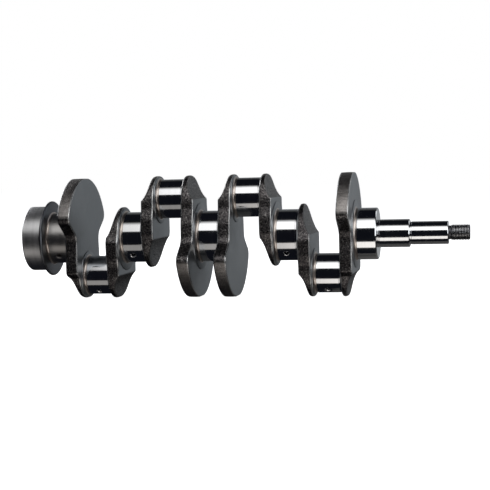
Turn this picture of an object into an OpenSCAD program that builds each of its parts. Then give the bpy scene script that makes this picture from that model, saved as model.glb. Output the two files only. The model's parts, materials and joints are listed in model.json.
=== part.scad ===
// Crankshaft of a small four-cylinder engine, with its keys and pilot bearing.
// +X runs along the main axis towards the nose, +Z up. The origin is the
// middle of main journal 3. Cylinders, journals and webs count from the nose.

/* [Journals] */
// Diameter of the five main journals
main_d = 52; // [50:0.5:53]
// Diameter of the four crankpins
pin_d = 40; // [38:0.5:42]
// Distance from the main axis to each crankpin's axis, half of the stroke
throw = 39; // [38:0.5:40]
// Distance from one cylinder to the next
bore_pitch = 80; // [78:0.5:84]
// Gap between the two web faces beside a crankpin
pin_gap = 29.6; // [28:0.1:31]
// Depth of the undercut where a journal meets its webs
undercut_depth = 0.4; // [0.2:0.1:0.8]
// Width of that undercut
undercut_w = 2; // [1.5:0.5:3]

/* [Webs] */
// Thickness of a web along the shaft
web_t = 12.4; // [11.5:0.1:13]
// Height of the machined rings around the journals
boss_h = 0.8; // [0.5:0.1:1.2]
// Radius of the ring around a main journal
main_boss_r = 33.5; // [31:0.5:34]
// Radius of the ring around a crankpin
pin_boss_r = 23.5; // [22.5:0.5:25]
// Half width of a plain web at its waist
plain_waist = 34.3; // [33.5:0.1:35]
// Half width of a counterweighted web at its waist
weight_waist = 36; // [35.5:0.1:37]
// Outer radius of the counterweights
weight_r = 62.5; // [62.2:0.1:64]
// Distance of a web's outer end from the main axis, on its crankpin side
tip_reach = 62.6; // [62:0.1:64]
// Distance of the flat at a counterweight's outer end from the main axis
weight_flat = 61.8; // [61:0.1:62]
// Radius of a plain web's other end
heel_r = 31.4; // [31:0.1:32.5]

/* [Flywheel end] */
// Diameter of the flange that carries the flywheel and the oil seal
flange_d = 67; // [65:0.5:70]
// Length of that flange with its neck
flange_len = 21.4; // [20:0.1:23]
// Diameter of the oil slinger ring
slinger_d = 78; // [76:0.5:80]
// Thickness of the oil slinger ring
slinger_t = 2.2; // [2:0.1:3.5]
// Length of main journal 5, from the slinger to its web
rear_main_len = 24.6; // [23:0.1:26]
// Number of flywheel bolt holes
bolt_count = 6; // [4:1:6]
// Diameter of the flywheel bolt circle
bolt_circle_d = 50; // [49:0.5:51]
// Drilled diameter of a flywheel bolt hole
bolt_hole_d = 6.8; // [6:0.1:7.2]

/* [Nose] */
// Length of main journal 1, from its web to the end face
front_main_len = 23; // [22:0.1:25]
// Diameter of the timing gear seat
gear_seat_d = 28; // [27:0.5:30]
// Length of the timing gear seat
gear_seat_len = 31.6; // [30:0.1:34]
// Diameter of the pulley seat
pulley_seat_d = 23; // [22:0.5:24]
// Length of the pulley seat
pulley_seat_len = 38; // [36:0.5:40]
// Outer diameter of the nose thread
thread_d = 16; // [15:0.5:17]
// Length of the threaded end
thread_len = 20.8; // [19:0.1:23]

/* [Pilot bearing] */
// Outer diameter
bearing_d = 32; // [31:0.5:33]
// Bore
bearing_bore = 12; // [11:0.5:12]
// Width
bearing_w = 10; // [9.5:0.1:11]
// Number of balls
ball_count = 7; // [6:1:7]

/* [Hidden] */
$fn = 96;

MAINS = [1:5];
PINS = [1:4];
WEBS = [1:8];

main_r = main_d / 2;
pin_r = pin_d / 2;
main_gap = bore_pitch - 2 * web_t - pin_gap;
web_offset = pin_gap / 2 + web_t / 2;

// How far a cut runs out past the face it starts from
over = 1;

// Chamfers, undercuts and steps of the turned zones
undercut_rise = 0.5;
front_main_chamfer = 1;
flange_chamfer = 1;
neck_drop = 2.5; // how far the flange's neck lies below its rim
neck_w = 2.3;
neck_slope = 0.5; // length of the slope from the rim down to the neck
slinger_bevel = 1.2;
slinger_bevel_w = 1;
seat_chamfer = 0.8;
bolt_hole_depth = 17;

// Nose thread: relief behind it, chamfers and the centre drilling in its end
thread_drop = 1.2; // depth of the relief and of the end chamfer
thread_relief_w = 2.2;
drilling_cone_r = 4; // radius of the drilling's cone where its cut starts
drilling_cone_depth = 2;
drilling_r = 1.4;
drilling_depth = 5;
drilling_tip = 0.8;

// Colours
ground_steel = [0.62, 0.63, 0.66];
forged_steel = [0.27, 0.27, 0.29];
bearing_steel = [0.72, 0.73, 0.75];
seal_rubber = [0.12, 0.12, 0.13];
cage_brass = [0.72, 0.58, 0.30];

// Places along the shaft
front_main_x = 2 * bore_pitch - main_gap / 2;
gear_seat_x = front_main_x + front_main_len;
pulley_seat_x = gear_seat_x + gear_seat_len;
thread_x = pulley_seat_x + pulley_seat_len;
rear_main_x = -2 * bore_pitch + main_gap / 2 - rear_main_len;
slinger_x = rear_main_x - slinger_t;
flange_x = slinger_x - flange_len;
bearing_recess = 1; // how deep the bearing lies below the flange's end face
bearing_x = flange_x + bearing_recess + bearing_w / 2;

// Web side profile: where the forged bevels start and how deep they go
tip_bevel_z = 38;
heel_bevel_z = -1;
heel_bevel_depth = 6.7;
heel_bevel_run = 18;
heel_t = 4.4;
heel_foot = 0.6; // how much thicker the heel is where its bevel ends
heel_foot_run = 7;
// The tip's bevel as [depth, height above its start], steep at first
TIP_BEVEL = [[1.5, 2], [3.2, 5], [4.7, 8.5], [5.8, 12.5], [6.8, 18], [7.6, 23], [8.4, 27]];

// Web outline: superellipse at the pin end, arcs elsewhere
tip_width = 31;
end_tip_start = 14; // degrees of the tip's curve that an end web's pad takes up
tip_centre_z = 30;
tip_power = 2.4;
corner_r = 8;
heel_angle = 8; // degrees below the middle where the heel's arc begins
plain_taper = 0.7; // how much narrower a plain web is above its waist
plain_side_z = [20, 4];
weight_taper = 1;
weight_side_z = 14;
corner_angle = 24.4;
shoulder_angle = 34.4;
waist_fillet_r = 12;
pad_width = 36.8;
pad_foot_z = 8;
pad_low_z = 24;
pad_high_z = 35.5;

// Oil drillings
oil_r = 2.5;
oil_feed_r = 2;
oil_past = 4; // how far a main journal's hole runs past its axis
oil_mouth_r = 3.6;
oil_feed_past = 8; // how far a sloping hole's cut runs out past its crankpin
oil_sink_depth = 1.6;
oil_sink_over = 0.5;
main_oil_angle = -136;
pin_oil_angle = -125;
FED_MAIN = [1, 2, 4, 5]; // the main journal that feeds each crankpin
pin_seam_turn = 20; // keeps the seam of a crankpin's round face clear of its oil hole

// Woodruff keys
key_r = 9.5;
key_w = 5;
key_seat_depth = 5.5;
key_proud = 2;
key_shift = 10.5;

// Pilot bearing
bearing_r = bearing_d / 2;
clearance_step = 2.5; // ledge behind the bearing
clearance_len = 3;
clearance_cone = 4;
ball_circle_r = (bearing_d + bearing_bore) / 4;
ball_r = 2.95;
race_groove_r = 3.1;
race_wall = 3.3;
cage_half_w = 3.4;
cage_wall = 1.1;
pocket_gap = 0.05;
seal_t = 0.9;
seal_gap = 0.3;
seal_inset = 0.1;

function is_weight(k) = k == 1 || k == 4 || k == 5 || k == 8;
function is_end(k) = k == 1 || k == 8;
function web_name(k) = str(is_weight(k) ? "counterweight_web_" : "plain_web_", k);
function web_pin(k) = ceil(k / 2);
function pin_x(j) = (2.5 - j) * bore_pitch;
function pin_up(j) = (j == 2 || j == 3) ? 1 : -1;
function main_x(k) = (3 - k) * bore_pitch;
// Odd webs have their main journal on the nose side, even ones on the other
function web_main_side(k) = k % 2 == 1 ? 1 : -1;
function web_x(k) = pin_x(web_pin(k)) + web_main_side(k) * web_offset;

function arc(cy, cz, r, from, to, steps) =
    [for (i = [0:steps]) let (a = from + (to - from) * i / steps) [cy + r * cos(a), cz + r * sin(a)]];

// Superellipse from the side of the pin end, at angle from, up to its tip
function tip_curve(from, steps = 10) = [
    for (i = [0:steps])
        let (a = from + (90 - from) * i / steps, e = 2 / tip_power)
            [tip_width * pow(max(cos(a), 0), e), tip_centre_z + (tip_reach - tip_centre_z) * pow(sin(a), e)]
];

// The plain web's round end, from the waist to the bottom
function heel_curve() = arc(0, 0, heel_r, -heel_angle, -90, 10);

// The counterweight, from the waist to the bottom: a concave fillet, a straight
// shoulder, a rounded corner, the large arc about the main axis and its flat
function weight_curve() =
    let (
        d = weight_r - corner_r,
        cy = d * cos(corner_angle),
        cz = -d * sin(corner_angle),
        // end of the shoulder, on the corner's circle
        sy = cy + corner_r * sin(shoulder_angle),
        sz = cz + corner_r * cos(shoulder_angle),
        // where the shoulder's line would meet the waist
        mz = sz + (sy - weight_waist) * tan(shoulder_angle),
        turn = 90 - shoulder_angle,
        back = waist_fillet_r * tan(turn / 2),
        fy = weight_waist + waist_fillet_r,
        fz = mz + back
    )
    concat(
        arc(fy, fz, waist_fillet_r, 180, 180 + turn, 5),
        arc(cy, cz, corner_r, 90 - shoulder_angle, -corner_angle, 6),
        arc(0, 0, weight_r, -corner_angle, -asin(weight_flat / weight_r), 12),
        [[0, -weight_flat]]
    );

function pad_curve() = [[weight_waist, pad_foot_z], [pad_width, pad_low_z], [pad_width, pad_high_z]];

// Whole outline of a web seen along the shaft, with its crankpin upwards
function web_outline(k) =
    let (
        tip = tip_curve(is_end(k) ? end_tip_start : 0),
        side = is_end(k) ? [for (i = [2:-1:0]) pad_curve()[i]]
             : is_weight(k) ? [[weight_waist - weight_taper, weight_side_z]]
             : [[plain_waist - plain_taper, plain_side_z[0]], [plain_waist, plain_side_z[1]]],
        lower = is_weight(k) ? weight_curve() : heel_curve(),
        half = concat([for (i = [len(tip) - 1:-1:0]) tip[i]], side, lower),
        n = len(half)
    )
    concat(half, [for (i = [n - 2:-1:1]) [-half[i][0], half[i][1]]]);

// Web seen from the side, with the main journal at x < 0 and its crankpin upwards
function web_profile(k) =
    let (
        h = web_t / 2,
        far = weight_r + 2 * over,
        heel = is_weight(k)
            ? [[h, -far]]
            : [[h, heel_bevel_z],
               [h - heel_bevel_depth, heel_bevel_z - heel_bevel_run],
               [heel_t - h + heel_foot, heel_bevel_z - heel_bevel_run - heel_foot_run],
               [heel_t - h, -far]]
    )
    concat(
        [[-h, -far], [-h, tip_bevel_z]],
        [for (b = TIP_BEVEL) [b[0] - h, tip_bevel_z + b[1]]],
        [[h, tip_bevel_z + TIP_BEVEL[len(TIP_BEVEL) - 1][1]]],
        heel
    );

// Cylinder along the shaft from x0 to x1
module round_bar(x0, x1, r, z = 0) {
    translate([x0, 0, z]) rotate([0, 90, 0]) cylinder(h = x1 - x0, r = r);
}

// Solid of revolution about the shaft's axis, from points [x, r]
module turned(points) {
    rotate([0, 90, 0]) rotate_extrude() polygon([for (p = points) [p[1], p[0]]]);
}

// Flat shape in Y and Z made into a plate from x0 to x1
module plate(x0, x1, points) {
    translate([x0, 0, 0]) rotate([90, 0, 90]) linear_extrude(height = x1 - x0) polygon(points);
}

// Rod of radius r from one point to another, running on past its end
module rod(from, to, r, past = 0) {
    d = to - from;
    len = norm(d);
    translate(from)
        rotate([0, acos(d[2] / len), atan2(d[1], d[0])]) cylinder(h = len + past, r = r);
}

// Journal ground between x0 and x1, with an undercut at each end that meets a web
// and a chamfer at a free front end
module journal(x0, x1, r, front_free = false) {
    u = undercut_w;
    low = r - undercut_depth;
    turned(concat(
        [[x0, 0], [x0, low], [x0 + u - undercut_rise, low], [x0 + u, r]],
        front_free ? [[x1 - front_main_chamfer, r], [x1, r - front_main_chamfer]]
                   : [[x1 - u, r], [x1 - u + undercut_rise, low], [x1, low]],
        [[x1, 0]]
    ));
}

// Drilling from the outside of crankpin j to the middle of its main journal,
// and the hole from there out to the main journal's surface
module oil_drilling(j) {
    k = FED_MAIN[j - 1];
    side = pin_up(j) == 1 ? 180 : 0;
    pin_a = pin_oil_angle + side;
    main_a = main_oil_angle + (k == 1 ? 180 : 0);
    middle = [main_x(k), 0, 0];
    pin_dir = [0, cos(pin_a), sin(pin_a)];
    main_dir = [0, cos(main_a), sin(main_a)];
    pin_mouth = [pin_x(j), 0, pin_up(j) * throw] + pin_r * pin_dir;
    main_mouth = middle + main_r * main_dir;
    rod(middle, pin_mouth, oil_feed_r, oil_feed_past);
    rod(middle - oil_past * main_dir, main_mouth, oil_r, over);
    for (m = [[pin_mouth, pin_dir], [main_mouth, main_dir]])
        translate(m[0]) rotate([atan2(m[1][2], m[1][1]) + 90, 0, 0])
            translate([0, 0, -oil_sink_over])
                cylinder(h = oil_sink_over + oil_sink_depth, r1 = oil_mouth_r + oil_sink_over,
                         r2 = oil_feed_r, $fn = 48);
}

module main_journal(k) {
    color(ground_steel)
    difference() {
        if (k == 1) journal(front_main_x + boss_h, gear_seat_x, main_r, front_free = true);
        else if (k == 5) journal(rear_main_x, -2 * bore_pitch + main_gap / 2 - boss_h, main_r);
        else journal(main_x(k) - main_gap / 2 + boss_h, main_x(k) + main_gap / 2 - boss_h, main_r);
        for (j = PINS) if (FED_MAIN[j - 1] == k) oil_drilling(j);
    }
}

module crankpin(j) {
    color(ground_steel)
    difference() {
        translate([0, 0, pin_up(j) * throw]) rotate([pin_seam_turn, 0, 0])
            journal(pin_x(j) - pin_gap / 2 + boss_h, pin_x(j) + pin_gap / 2 - boss_h, pin_r);
        oil_drilling(j);
    }
}

module web(k) {
    j = web_pin(k);
    s = web_main_side(k);
    h = web_t / 2;
    color(forged_steel)
    difference() {
        translate([web_x(k), 0, 0])
        mirror([s == 1 ? 1 : 0, 0, 0])
        mirror([0, 0, pin_up(j) == 1 ? 0 : 1])
        union() {
            intersection() {
                plate(-h, h, web_outline(k));
                rotate([90, 0, 0]) translate([0, 0, -weight_r])
                    linear_extrude(height = 2 * weight_r) polygon(web_profile(k));
            }
            intersection() {
                round_bar(-h - boss_h, 0, main_boss_r);
                plate(-h - boss_h, 0, web_outline(k));
            }
            intersection() {
                round_bar(0, h + boss_h, pin_boss_r, throw);
                plate(0, h + boss_h, web_outline(k));
            }
        }
        if (abs(main_x(FED_MAIN[j - 1]) - web_x(k)) < bore_pitch / 2) oil_drilling(j);
    }
}

module flywheel_flange() {
    r = flange_d / 2;
    neck_x = slinger_x - neck_w;
    back = flange_x + bearing_recess + bearing_w;
    ledge_r = bearing_r - clearance_step;
    color(ground_steel)
    difference() {
        turned([[flange_x, 0], [flange_x, r - flange_chamfer], [flange_x + flange_chamfer, r],
                [neck_x - neck_slope, r], [neck_x, r - neck_drop], [slinger_x, r - neck_drop],
                [slinger_x, 0]]);
        // Seat for the pilot bearing, and the clearance behind it
        turned([[flange_x - over, 0], [flange_x - over, bearing_r], [back, bearing_r], [back, ledge_r],
                [back + clearance_len, ledge_r], [back + clearance_len + clearance_cone, 0]]);
        for (i = [0:bolt_count - 1])
            rotate([i * 360 / bolt_count, 0, 0])
                translate([0, bolt_circle_d / 2, 0])
                    round_bar(flange_x - over, flange_x + bolt_hole_depth, bolt_hole_d / 2);
    }
}

module oil_slinger_ring() {
    r = slinger_d / 2;
    color(ground_steel)
    turned([[slinger_x, 0], [slinger_x, r], [rear_main_x - slinger_bevel_w, r],
            [rear_main_x, r - slinger_bevel], [rear_main_x, 0]]);
}

// Disc that a Woodruff key is cut from, on the far side of a seat of radius r
module key_disc(x, r) {
    translate([x, r - key_seat_depth + key_r, -key_w / 2]) cylinder(h = key_w, r = key_r);
}

module woodruff_key(x, r) {
    color(bearing_steel)
    intersection() {
        key_disc(x, r);
        translate([x - key_r, 0, -key_w]) cube([2 * key_r, r + key_proud, 2 * key_w]);
    }
}

module gear_seat() {
    r = gear_seat_d / 2;
    color(ground_steel)
    difference() {
        turned([[gear_seat_x, 0], [gear_seat_x, r], [pulley_seat_x - seat_chamfer, r],
                [pulley_seat_x, r - seat_chamfer], [pulley_seat_x, 0]]);
        key_disc(gear_seat_x + key_shift, r);
    }
}

module pulley_seat() {
    r = pulley_seat_d / 2;
    color(ground_steel)
    difference() {
        turned([[pulley_seat_x, 0], [pulley_seat_x, r], [thread_x - seat_chamfer, r],
                [thread_x, r - seat_chamfer], [thread_x, 0]]);
        key_disc(pulley_seat_x + key_shift, r);
    }
}

module threaded_nose() {
    r = thread_d / 2;
    low = r - thread_drop;
    relief_x = thread_x + thread_relief_w;
    end = thread_x + thread_len;
    color(ground_steel)
    difference() {
        turned([[thread_x, 0], [thread_x, low], [relief_x, low], [relief_x + thread_drop, r],
                [end - thread_drop, r], [end, low], [end, 0]]);
        // Centre drilling
        turned([[end + over, 0], [end + over, drilling_cone_r], [end - drilling_cone_depth, drilling_r],
                [end - drilling_depth, drilling_r], [end - drilling_depth - drilling_tip, 0]]);
    }
}

module gear_key() { woodruff_key(gear_seat_x + key_shift, gear_seat_d / 2); }
module pulley_key() { woodruff_key(pulley_seat_x + key_shift, pulley_seat_d / 2); }

// Ring between two radii, centred on the pilot bearing
module bearing_ring(inner, outer, half_w) {
    turned([[bearing_x - half_w, inner], [bearing_x - half_w, outer],
            [bearing_x + half_w, outer], [bearing_x + half_w, inner]]);
}

module race_groove() {
    translate([bearing_x, 0, 0]) rotate([0, 90, 0])
        rotate_extrude() translate([ball_circle_r, 0]) circle(r = race_groove_r, $fn = 48);
}

module pilot_outer_race() {
    color(bearing_steel)
    difference() {
        bearing_ring(bearing_r - race_wall, bearing_r, bearing_w / 2);
        race_groove();
    }
}

module pilot_inner_race() {
    color(bearing_steel)
    difference() {
        bearing_ring(bearing_bore / 2, bearing_bore / 2 + race_wall, bearing_w / 2);
        race_groove();
    }
}

module pilot_ball_cage() {
    color(cage_brass)
    difference() {
        bearing_ring(ball_circle_r - cage_wall, ball_circle_r + cage_wall, cage_half_w);
        // Ball pockets, drilled through the wall
        for (i = [0:ball_count - 1])
            rotate([i * 360 / ball_count, 0, 0]) translate([bearing_x, ball_circle_r - 2 * cage_wall, 0])
                rotate([-90, 0, 0]) cylinder(h = 4 * cage_wall, r = ball_r + pocket_gap);
    }
}

module pilot_balls() {
    color(bearing_steel)
    for (i = [0:ball_count - 1])
        rotate([i * 360 / ball_count, 0, 0])
            translate([bearing_x, ball_circle_r, 0]) sphere(r = ball_r, $fn = 48);
}

module pilot_seal(side) {
    x = bearing_x + side * (bearing_w / 2 - seal_t / 2 - seal_inset);
    color(seal_rubber)
    turned([[x - seal_t / 2, bearing_bore / 2 + race_wall + seal_gap],
            [x - seal_t / 2, bearing_r - race_wall],
            [x + seal_t / 2, bearing_r - race_wall],
            [x + seal_t / 2, bearing_bore / 2 + race_wall + seal_gap]]);
}

for (k = MAINS) main_journal(k);
for (j = PINS) crankpin(j);
for (k = WEBS) web(k);
flywheel_flange();
oil_slinger_ring();
gear_seat();
pulley_seat();
threaded_nose();
gear_key();
pulley_key();
pilot_outer_race();
pilot_inner_race();
pilot_ball_cage();
pilot_balls();
pilot_seal(-1);  // pilot_seal_rear
pilot_seal(1);  // pilot_seal_front
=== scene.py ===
import json
import math

import bmesh
import bpy
import numpy as np
from mathutils import Matrix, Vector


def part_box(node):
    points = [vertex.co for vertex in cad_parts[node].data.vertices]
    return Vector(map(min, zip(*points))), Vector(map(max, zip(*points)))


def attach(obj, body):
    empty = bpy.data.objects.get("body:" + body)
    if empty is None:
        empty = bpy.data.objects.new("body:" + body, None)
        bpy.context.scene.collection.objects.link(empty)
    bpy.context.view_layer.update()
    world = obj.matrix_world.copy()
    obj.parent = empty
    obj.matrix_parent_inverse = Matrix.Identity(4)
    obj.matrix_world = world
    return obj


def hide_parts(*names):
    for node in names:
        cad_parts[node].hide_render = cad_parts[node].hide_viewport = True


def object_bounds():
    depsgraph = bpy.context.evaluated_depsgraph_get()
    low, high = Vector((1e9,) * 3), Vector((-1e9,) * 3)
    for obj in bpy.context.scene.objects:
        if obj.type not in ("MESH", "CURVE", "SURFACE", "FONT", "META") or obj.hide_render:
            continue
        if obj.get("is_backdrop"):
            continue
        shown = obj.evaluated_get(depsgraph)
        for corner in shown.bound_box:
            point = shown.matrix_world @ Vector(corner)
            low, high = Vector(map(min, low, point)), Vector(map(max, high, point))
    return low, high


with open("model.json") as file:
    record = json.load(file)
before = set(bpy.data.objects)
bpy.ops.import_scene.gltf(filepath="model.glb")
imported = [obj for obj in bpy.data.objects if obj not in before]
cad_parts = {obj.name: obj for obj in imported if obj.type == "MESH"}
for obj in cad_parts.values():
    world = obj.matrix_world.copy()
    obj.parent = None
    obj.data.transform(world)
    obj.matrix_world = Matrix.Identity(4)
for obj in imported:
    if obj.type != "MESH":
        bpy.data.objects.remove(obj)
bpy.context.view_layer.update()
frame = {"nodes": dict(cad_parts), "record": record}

mm = 0.001
fixedBody = "crankshaft"  # the body that every piece of the shaft rides on
mergeGap = 1e-6  # metres, points closer than this become one
thinGap = 1e-7  # metres, faces thinner than this are taken out


# camera
cameraSet = {
    "place": (302.79, -1286.79, 70.54),  # mm
    "yaw": 11.8285,  # degrees, towards the flywheel end
    "pitch": -3.4992,  # degrees, looking slightly down
    "roll": -1.4957,  # degrees
    "lens": 94.567,  # mm on the sensor below
    "sensor": 36.0,  # mm
    "nearest": 0.01,  # metres, nothing closer is shown
}


def newObject(name, data):
    # made and linked to the scene
    thing = bpy.data.objects.new(name, data)
    bpy.context.scene.collection.objects.link(thing)
    return thing


def makeCamera(look):
    # forward = (-sin yaw cos pitch, cos yaw cos pitch, sin pitch), then rolled about itself
    yaw, pitch, roll = (math.radians(look[key]) for key in ("yaw", "pitch", "roll"))
    forward = np.array([-math.sin(yaw) * math.cos(pitch), math.cos(yaw) * math.cos(pitch), math.sin(pitch)])
    level = np.array([math.cos(yaw), math.sin(yaw), 0.0])
    up = np.cross(level, forward)
    right = level * math.cos(roll) + up * math.sin(roll)
    top = up * math.cos(roll) - level * math.sin(roll)
    turn = Matrix([(right[i], top[i], -forward[i]) for i in range(3)]).to_4x4()
    data = bpy.data.cameras.new("studioCamera")
    data.lens = look["lens"]
    data.sensor_width = look["sensor"]
    data.clip_start = look["nearest"]
    holder = newObject("studioCamera", data)
    holder.matrix_world = Matrix.Translation([v * mm for v in look["place"]]) @ turn
    bpy.context.scene.camera = holder


makeCamera(cameraSet)
print("camera placed")


# places read from the frame, in metres
def nodeBox(name):
    low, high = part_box(name)
    return np.array(low), np.array(high)


def axisAndRadius(name):
    # height of a turned node's axis and its radius, from its box
    low, high = nodeBox(name)
    return (low[2] + high[2]) / 2, (high[2] - low[2]) / 2


webNames = {int(name.split("_")[-1]): name for name in frame["nodes"] if "_web_" in name}
mainNames = {k: f"main_journal_{k}" for k in range(1, 6)}
pinNames = {j: f"crankpin_{j}" for j in range(1, 5)}


def pieceName(node):
    # crankpin_2 becomes crankpin2, main_journal_1 becomes mainJournal1
    words = node.split("_")
    return words[0] + "".join(word.capitalize() for word in words[1:])


# surfaces
def gridFaces(rows, columns, closeRows=False, closeColumns=False):
    # quads of a grid whose point (i, j) is number i * columns + j
    i = np.arange(rows if closeRows else rows - 1)
    j = np.arange(columns if closeColumns else columns - 1)
    a, b = np.meshgrid(i, j, indexing="ij")
    c, d = (a + 1) % rows, (b + 1) % columns
    return np.stack([a * columns + b, a * columns + d, c * columns + d, c * columns + b], -1).reshape(-1, 4)


def buildPiece(node, finish, parts, body=fixedBody, crease=35.0, marks=()):
    # parts are (points, quads, ...), and what follows is the share of each mark at every point
    name = pieceName(node)
    blocks = [np.reshape(part[0], (-1, 3)) for part in parts]
    points = np.concatenate(blocks)
    starts = np.cumsum([0] + [len(block) for block in blocks[:-1]])
    quads = np.concatenate([part[1] + start for part, start in zip(parts, starts)])
    mesh = bpy.data.meshes.new(name)
    mesh.vertices.add(len(points))
    mesh.vertices.foreach_set("co", points.ravel())
    mesh.loops.add(quads.size)
    mesh.loops.foreach_set("vertex_index", quads.ravel())
    mesh.polygons.add(len(quads))
    mesh.polygons.foreach_set("loop_start", np.arange(0, quads.size, 4))
    mesh.update(calc_edges=True)
    for place, mark in enumerate(marks, 2):
        share = [np.broadcast_to(part[place], np.shape(part[0])[:-1]).ravel() for part in parts]
        mesh.attributes.new(mark, "FLOAT", "POINT").data.foreach_set("value", np.concatenate(share))
    work = bmesh.new()
    work.from_mesh(mesh)
    bmesh.ops.remove_doubles(work, verts=work.verts, dist=mergeGap)
    bmesh.ops.dissolve_degenerate(work, edges=work.edges, dist=thinGap)
    loose = [vertex for vertex in work.verts if not vertex.link_faces]
    bmesh.ops.delete(work, geom=loose, context="VERTS")
    bmesh.ops.recalc_face_normals(work, faces=work.faces)
    work.to_mesh(mesh)
    work.free()
    mesh.shade_smooth()
    mesh.set_sharp_from_angle(angle=math.radians(crease))
    mesh.materials.append(finish)
    piece = newObject(name, mesh)
    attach(piece, body)
    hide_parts(node)


def arc(cx, cr, radius, start, stop, steps=6):
    # (cx + radius cos a, cr + radius sin a) for a from start to stop, in degrees
    a = np.radians(np.linspace(start, stop, steps + 1))
    return np.stack([cx + radius * np.cos(a), cr + radius * np.sin(a)], -1)


def softened(points, cut, steps=4):
    # each inner corner of a profile becomes the curve (1-t)^2 A + 2t(1-t) C + t^2 B,
    # where A and B lie cut away from the corner C along its two sides
    points = np.asarray(points, float)
    before, here, after = points[:-2], points[1:-1], points[2:]
    back, ahead = before - here, after - here
    backLength, aheadLength = (np.linalg.norm(leg, axis=1, keepdims=True) for leg in (back, ahead))
    size = np.minimum(cut, 0.45 * np.minimum(backLength, aheadLength))
    a, b = here + back / backLength * size, here + ahead / aheadLength * size
    t = np.linspace(0, 1, steps + 1)[None, :, None]
    curve = (1 - t) ** 2 * a[:, None] + 2 * t * (1 - t) * here[:, None] + t ** 2 * b[:, None]
    return np.concatenate([points[:1], curve.reshape(-1, 2), points[-1:]])


def turned(profile, height=0.0, segments=160):
    # the profile's points (x, r) carried round the X axis: (x, r sin t, height + r cos t)
    profile = np.asarray(profile, float)
    t = np.linspace(0, 2 * np.pi, segments, endpoint=False)
    x = np.broadcast_to(profile[:, :1], (len(profile), segments))
    r = profile[:, 1:]
    return np.stack([x, r * np.sin(t), height + r * np.cos(t)], -1)


def turnedPart(profile, height=0.0, segments=160, closed=False):
    points = turned(profile, height, segments)
    return points, gridFaces(len(points), segments, closed, True)


def drilledParts(points, drills, look):
    # Round each drill's row and column a square of cells is left out of a turned grid.
    # Rings run from the square's rim to the mouth circle, straight or along the round
    # surface, then down the countersink and the bore. A ring of radius r at depth d is
    # centre + r cos a along + r sin a across - (d + sag) outward, where sag = R - sqrt(R^2 - (r sin a)^2).
    rows, columns = points.shape[:2]
    keep = np.ones((rows - 1, columns), bool)
    parts = []
    w = look["window"]
    steps = np.arange(-w, w)
    far = np.full(2 * w, w)
    sides = ((-far, steps), (steps, far), (far, -steps), (-steps, -far))
    rim = np.concatenate([np.stack(side, -1) for side in sides])
    for row, column, radius, height in drills:
        keep[row - w:row + w, (np.arange(column - w, column + w)) % columns] = False
        edge = points[row + rim[:, 0], (column + rim[:, 1]) % columns]
        centre = points[row, column % columns]
        along = points[row + 1, column % columns] - points[row - 1, column % columns]
        across = points[row, (column + 1) % columns] - points[row, (column - 1) % columns]
        along, across = along / np.linalg.norm(along), across / np.linalg.norm(across)
        outward = np.cross(across, along)
        if radius and outward[1] * centre[1] + outward[2] * (centre[2] - height) < 0:
            outward = -outward
        if not radius:
            outward = np.array([look["side"], 0.0, 0.0])
        a = np.arctan2((edge - centre) @ across, (edge - centre) @ along)

        def ring(r, depth, follow=1.0):
            sag = radius - np.sqrt(radius ** 2 - (r * np.sin(a)) ** 2) if radius else 0 * a
            return (centre + np.outer(r * np.cos(a), along) + np.outer(r * np.sin(a), across)
                    - np.outer(depth + follow * sag, outward))

        mouth, bore, lip = look["mouth"] * mm, look["bore"] * mm, look["lip"] * mm
        outer = ring(mouth + lip, 0.0)
        rings = []
        for share in np.linspace(0, 1, look["rings"]):
            flat = edge + (outer - edge) * share
            if radius:
                spoke = flat[:, 1:] - (0.0, height)
                flat[:, 1:] = (0.0, height) + spoke / np.linalg.norm(spoke, axis=1, keepdims=True) * radius
            rings.append(flat)
        # (radius, depth, share of the sag) over the lip, down the countersink and the bore to its point
        slope, end = mouth - bore, look["depth"] * mm
        hole = [(mouth, 0.25 * lip, 1.0), (mouth - lip, lip, 0.9), (bore + 0.1 * lip, slope, 0.1),
                (bore, slope + 0.3 * lip, 0.0), (bore, end, 0.0), (1e-9, end + bore * 0.6, 0.0)]
        rings += [ring(*step) for step in hole]
        parts.append((np.array(rings), gridFaces(len(rings), len(a), False, True)))
    return [(points, gridFaces(rows, columns, False, True)[keep.ravel()])] + parts


# finishes
def newMaterial(name):
    material = bpy.data.materials.new(name)
    material.use_nodes = True
    tree = material.node_tree
    return material, tree, tree.nodes["Principled BSDF"]


def feed(tree, source, socket):
    # a number sets the socket, a colour sets it with full alpha, an output is linked
    if isinstance(source, (int, float)):
        socket.default_value = source
    elif isinstance(source, tuple):
        socket.default_value = (*source, 1.0) if len(source) == 3 and socket.type == "RGBA" else source
    else:
        tree.links.new(source, socket)


def calc(tree, operation, *values):
    node = tree.nodes.new("ShaderNodeMath")
    node.operation = operation
    for value, socket in zip(values, node.inputs):
        feed(tree, value, socket)
    return node.outputs[0]


def weighed(tree, first, second):
    # the sum of two (value, weight) pairs
    return calc(tree, "ADD", calc(tree, "MULTIPLY", *first), calc(tree, "MULTIPLY", *second))


def feedShader(tree, shader, colour, rough, normal, metallic=1.0):
    sources = {"Base Color": colour, "Metallic": metallic, "Roughness": rough, "Normal": normal}
    for key, source in sources.items():
        feed(tree, source, shader.inputs[key])


def objectPlace(tree, scale=(1.0, 1.0, 1.0)):
    # Object coordinates, stretched along each axis
    place = tree.nodes.new("ShaderNodeTexCoord")
    mapping = tree.nodes.new("ShaderNodeMapping")
    mapping.inputs["Scale"].default_value = scale
    tree.links.new(place.outputs["Object"], mapping.inputs["Vector"])
    return mapping.outputs["Vector"]


def noise(tree, vector, scale, detail=4.0, rough=0.6):
    node = tree.nodes.new("ShaderNodeTexNoise")
    for key, value in (("Scale", scale), ("Detail", detail), ("Roughness", rough), ("Vector", vector)):
        feed(tree, value, node.inputs[key])
    return node.outputs["Fac"]


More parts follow.
